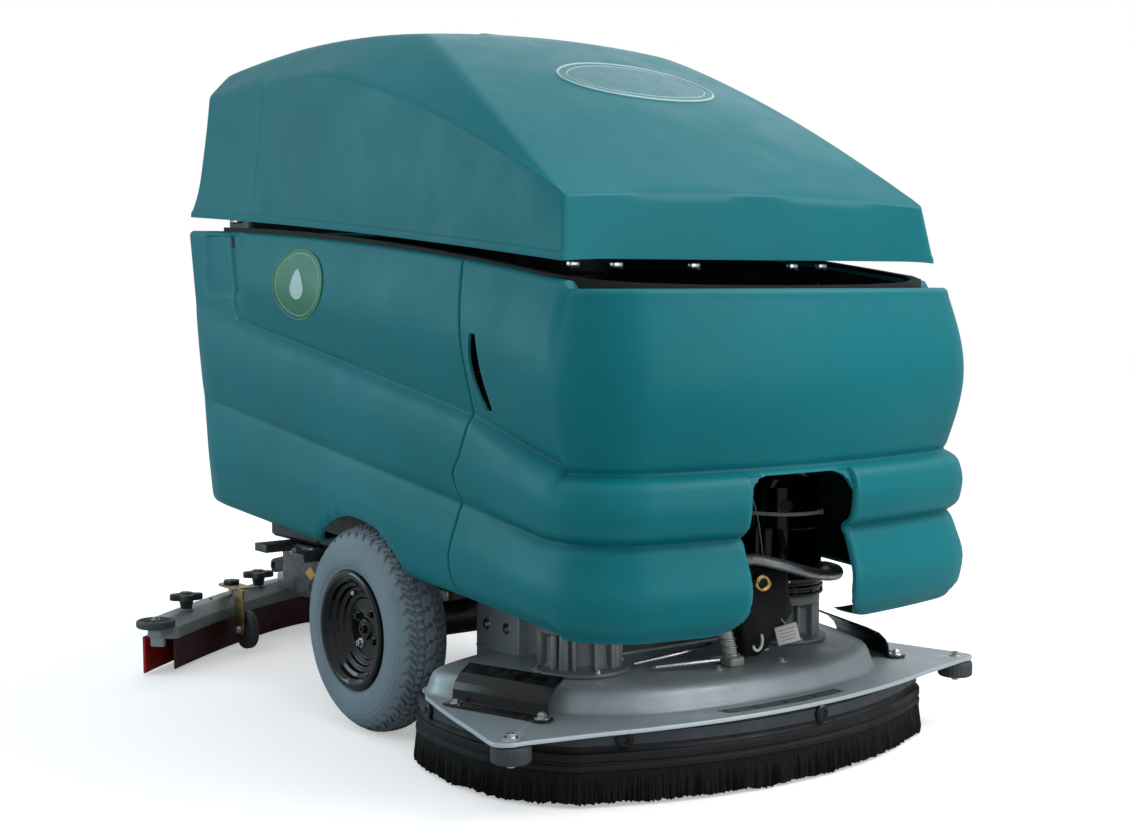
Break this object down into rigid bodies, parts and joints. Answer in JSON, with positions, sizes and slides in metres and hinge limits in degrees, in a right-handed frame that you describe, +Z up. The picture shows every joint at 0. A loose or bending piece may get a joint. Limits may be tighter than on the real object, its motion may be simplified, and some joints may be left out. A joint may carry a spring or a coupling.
{
  "type": "walk-behind floor scrubber",
  "caption": "Large walk-behind floor scrubber: teal two-part body over a disc-brush deck, drive wheels amidships, curved squeegee and operator console behind.",
  "frame": {"origin": "middle of the bounding box's footprint, on the floor", "axes": "+Z up, -Y is the machine's front, +Y its operator's end, -X the operator's right"},
  "size_m": [0.922, 1.4698, 1.0709],
  "materials": {
    "teal_moulding": "semi-gloss moulded, light texture",
    "frame_black": "semi-gloss black",
    "black_plastic": "satin",
    "cast_alu": "as cast, grey-green",
    "bright_steel": "satin",
    "grey_tyre": "grey-blue non-marking rubber",
    "rim_black": "gloss black",
    "black_rubber": "matte",
    "bristle": "brush filament",
    "red_blade": "satin",
    "yellow_zinc": "yellow passivated",
    "grey_hose": "satin",
    "battery_case": "satin",
    "red_plastic": "gloss",
    "grey_plastic": "satin",
    "motor_black": "gloss black"
  },
  "bodies": {
    "chassis": {"main_frame": "frame_black", "solution_tank": "teal_moulding", "tank_hinge_rail": "bright_steel", "battery_1": "battery_case", "battery_2": "battery_case", "battery_3": "battery_case", "battery_cable": "red_plastic", "drive_transaxle": "frame_black", "lift_actuator": "bright_steel", "console_housing": "black_plastic", "control_panel": "grey_plastic", "steering_handle": "frame_black", "squeegee_hose": "grey_hose", "drain_hose": "black_rubber"},
    "shroud": {"front_shroud": "teal_moulding"},
    "tank": {"recovery_tank": "teal_moulding", "float_shutoff": "grey_plastic", "vacuum_motor": "black_plastic"},
    "lid": {"tank_lid": "teal_moulding"},
    "lift_arm": {"lower_lift_arm": "frame_black"},
    "upper_link": {"upper_lift_link": "frame_black"},
    "deck": {"scrub_deck": "cast_alu", "skirt_band": "black_rubber", "skirt_bristles": "bristle", "brush_gearbox_left": "cast_alu", "brush_gearbox_right": "cast_alu", "brush_motor_left": "motor_black", "brush_motor_right": "motor_black", "skirt_bracket_left": "frame_black", "skirt_bracket_right": "frame_black", "motor_conduit": "grey_hose"},
    "squeegee_lifter": {"squeegee_arm": "frame_black"},
    "squeegee": {"squeegee_frame": "cast_alu", "squeegee_blade": "red_blade", "wheel_bracket_left": "yellow_zinc", "wheel_bracket_right": "yellow_zinc"},
    "caster": {"rear_caster_fork": "bright_steel"},
    "caster_wheel": {"rear_caster_wheel": "black_rubber"},
    "key": {"key_switch": "bright_steel"},
    "button": {"push_button": "grey_plastic"},
    "knob": {"speed_knob": "black_plastic"},
    "stop": {"emergency_stop": "red_plastic"},
    "bail": {"drive_bail": "black_plastic"},
    "bumper_right": {"bumper_roller_right": "black_rubber"},
    "brush_right": {"disc_brush_right": "bristle"},
    "drive_wheel_right": {"drive_tyre_right": "grey_tyre", "wheel_rim_right": "rim_black"},
    "tip_right": {"tip_roller_right": "black_rubber"},
    "squeegee_wheel_right": {"squeegee_wheel_right": "black_rubber"},
    "knob_outer_right": {"star_knob_outer_right": "black_plastic"},
    "knob_inner_right": {"star_knob_inner_right": "black_plastic"},
    "bumper_left": {"bumper_roller_left": "black_rubber"},
    "brush_left": {"disc_brush_left": "bristle"},
    "drive_wheel_left": {"drive_tyre_left": "grey_tyre", "wheel_rim_left": "rim_black"},
    "tip_left": {"tip_roller_left": "black_rubber"},
    "squeegee_wheel_left": {"squeegee_wheel_left": "black_rubber"},
    "knob_outer_left": {"star_knob_outer_left": "black_plastic"},
    "knob_inner_left": {"star_knob_inner_left": "black_plastic"}
  },
  "joints": [
    {"name": "tank_tilt", "type": "hinge", "parent": "chassis", "child": "tank", "pos_m": [0.352, -0.05, 0.7405], "axis": [0, 0.9962, 0.0877], "range_deg": [0, 80]},
    {"name": "lid_hinge", "type": "hinge", "parent": "tank", "child": "lid", "pos_m": [0, 0.326, 1.052], "axis": [-1, 0, 0], "range_deg": [0, 100]},
    {"name": "shroud_pull", "type": "slide", "parent": "chassis", "child": "shroud", "axis": [0, -0.9962, -0.0872], "range_m": [0, 0.35]},
    {"name": "lower_lift", "type": "hinge", "parent": "chassis", "child": "lift_arm", "pos_m": [0, -0.17, 0.195], "axis": [-1, 0, 0], "range_deg": [0, 15]},
    {"name": "deck_level", "type": "hinge", "parent": "lift_arm", "child": "deck", "pos_m": [0, -0.34, 0.18], "axis": [-1, 0, 0], "range_deg": [-15, 0]},
    {"name": "upper_lift", "type": "hinge", "parent": "chassis", "child": "upper_link", "pos_m": [0, -0.17, 0.245], "axis": [-1, 0, 0], "range_deg": [0, 15]},
    {"name": "brush_right_spin", "type": "hinge", "parent": "deck", "child": "brush_right", "pos_m": [-0.19, -0.44, 0.08], "axis": [0, 0, 1], "continuous": true},
    {"name": "bumper_right_spin", "type": "hinge", "parent": "deck", "child": "bumper_right", "pos_m": [-0.4135, -0.592, 0.075], "axis": [0, 0, 1], "continuous": true},
    {"name": "drive_right", "type": "hinge", "parent": "chassis", "child": "drive_wheel_right", "pos_m": [-0.268, -0.1, 0.155], "axis": [1, 0, 0], "continuous": true},
    {"name": "tip_right_spin", "type": "hinge", "parent": "squeegee", "child": "tip_right", "pos_m": [-0.428, 0.432, 0.09], "axis": [0, 0, 1], "continuous": true},
    {"name": "squeegee_wheel_right_spin", "type": "hinge", "parent": "squeegee", "child": "squeegee_wheel_right", "pos_m": [-0.205, 0.536, 0.04], "axis": [1, 0, 0], "continuous": true},
    {"name": "knob_outer_right_turn", "type": "hinge", "parent": "squeegee", "child": "knob_outer_right", "pos_m": [-0.335, 0.51066, 0.12], "axis": [0, 0, 1], "continuous": true},
    {"name": "knob_inner_right_turn", "type": "hinge", "parent": "squeegee", "child": "knob_inner_right", "pos_m": [-0.12, 0.6549, 0.12], "axis": [0, 0, 1], "continuous": true},
    {"name": "brush_left_spin", "type": "hinge", "parent": "deck", "child": "brush_left", "pos_m": [0.19, -0.44, 0.08], "axis": [0, 0, 1], "continuous": true},
    {"name": "bumper_left_spin", "type": "hinge", "parent": "deck", "child": "bumper_left", "pos_m": [0.4135, -0.592, 0.075], "axis": [0, 0, 1], "continuous": true},
    {"name": "drive_left", "type": "hinge", "parent": "chassis", "child": "drive_wheel_left", "pos_m": [0.268, -0.1, 0.155], "axis": [1, 0, 0], "continuous": true},
    {"name": "tip_left_spin", "type": "hinge", "parent": "squeegee", "child": "tip_left", "pos_m": [0.428, 0.432, 0.09], "axis": [0, 0, 1], "continuous": true},
    {"name": "squeegee_wheel_left_spin", "type": "hinge", "parent": "squeegee", "child": "squeegee_wheel_left", "pos_m": [0.205, 0.536, 0.04], "axis": [1, 0, 0], "continuous": true},
    {"name": "knob_outer_left_turn", "type": "hinge", "parent": "squeegee", "child": "knob_outer_left", "pos_m": [0.335, 0.51066, 0.12], "axis": [0, 0, 1], "continuous": true},
    {"name": "knob_inner_left_turn", "type": "hinge", "parent": "squeegee", "child": "knob_inner_left", "pos_m": [0.12, 0.6549, 0.12], "axis": [0, 0, 1], "continuous": true},
    {"name": "caster_swivel", "type": "hinge", "parent": "chassis", "child": "caster", "pos_m": [0, 0.3, 0.14], "axis": [0, 0, 1], "continuous": true},
    {"name": "caster_roll", "type": "hinge", "parent": "caster", "child": "caster_wheel", "pos_m": [0, 0.33, 0.05], "axis": [1, 0, 0], "continuous": true},
    {"name": "squeegee_lift", "type": "hinge", "parent": "chassis", "child": "squeegee_lifter", "pos_m": [0, 0.345, 0.2], "axis": [1, 0, 0], "range_deg": [0, 10], "deforming": ["squeegee_hose"]},
    {"name": "squeegee_swing", "type": "hinge", "parent": "squeegee_lifter", "child": "squeegee", "pos_m": [0, 0.6, 0.14], "axis": [0, 0, 1], "range_deg": [-10, 10]},
    {"name": "key_turn", "type": "hinge", "parent": "chassis", "child": "key", "pos_m": [-0.14, 0.558, 0.95], "axis": [0, 0, 1], "range_deg": [0, 90]},
    {"name": "button_push", "type": "slide", "parent": "chassis", "child": "button", "axis": [0, 0, -1], "range_m": [0, 0.002], "stiffness_N_per_m": 400, "springref_m": -0.0005},
    {"name": "knob_turn", "type": "hinge", "parent": "chassis", "child": "knob", "pos_m": [0.01, 0.558, 0.95], "axis": [0, 0, 1], "range_deg": [-135, 135]},
    {"name": "stop_push", "type": "slide", "parent": "chassis", "child": "stop", "axis": [0, 0, -1], "range_m": [0, 0.004], "stiffness_N_per_m": 600, "springref_m": -0.0005},
    {"name": "bail_hinge", "type": "hinge", "parent": "chassis", "child": "bail", "pos_m": [0, 0.618, 0.78], "axis": [1, 0, 0], "range_deg": [-20, 20], "stiffness_Nm_per_rad": 1}
  ],
  "couplings": [
    {"joint": "deck_level", "follows": "lower_lift", "ratio": -1},
    {"joint": "upper_lift", "follows": "lower_lift", "ratio": 1}
  ]
}
